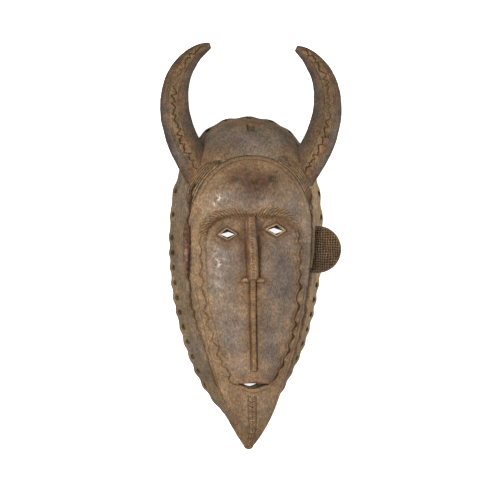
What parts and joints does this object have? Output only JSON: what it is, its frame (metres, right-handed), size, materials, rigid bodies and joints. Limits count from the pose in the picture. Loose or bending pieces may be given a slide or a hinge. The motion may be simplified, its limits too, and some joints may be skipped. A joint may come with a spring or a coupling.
{
  "type": "carved wooden horned face mask",
  "caption": "Carved wooden face mask with two curved horns, a hooded open back, diamond eye holes, a long ridged nose and one disc ear",
  "frame": {"origin": "middle of the mask's outline seen from above, in the plane of its back rim, on which it lies", "axes": "+Z out of the face, +Y from the chin towards the horns, +X towards the side that keeps its ear"},
  "size_m": [0.2384, 0.5272, 0.107],
  "materials": {
    "worn_wood": "worn brown wood with a dull polished patina"
  },
  "bodies": {
    "root": {"mask": "worn_wood"}
  },
  "joints": []
}
